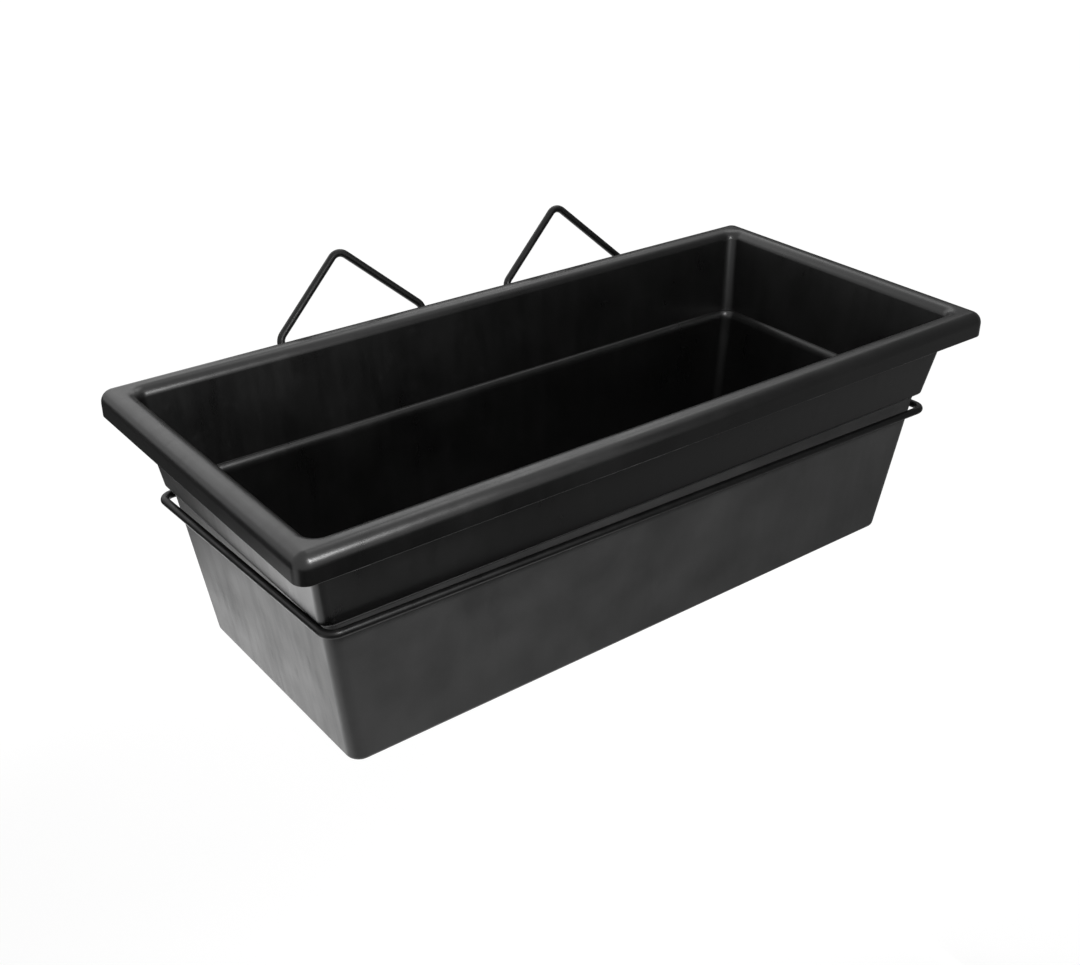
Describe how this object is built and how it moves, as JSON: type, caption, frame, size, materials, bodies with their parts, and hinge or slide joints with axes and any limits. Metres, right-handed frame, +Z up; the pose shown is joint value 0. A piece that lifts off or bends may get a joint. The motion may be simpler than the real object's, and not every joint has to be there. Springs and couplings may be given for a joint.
{
  "type": "window box planter with wire wall cradle",
  "caption": "Rectangular tapered plastic trough with a rolled rim and a stepped shoulder, sitting loosely in a wire ring with two pointed wire hangers behind it.",
  "frame": {"origin": "midway between the insides of the two hanger points, where the wall hooks bear", "axes": "+Z up, +X along the box to the right as seen from the front, +Y towards the wall the hangers hang on"},
  "size_m": [0.5, 0.257, 0.1981],
  "materials": {
    "black_plastic": "moulded polypropylene, satin",
    "coated_wire": "black coating over steel rod, semi-gloss"
  },
  "bodies": {
    "cradle": {"ring_rod": "coated_wire", "ring_butt_weld": "coated_wire", "hanger_left": "coated_wire", "hanger_right": "coated_wire", "hanger_welds": "coated_wire"},
    "box": {"trough": "black_plastic"}
  },
  "joints": [
    {"name": "box_lift", "type": "slide", "parent": "cradle", "child": "box", "axis": [0, 0, 1], "range_m": [0, 0.12]}
  ]
}
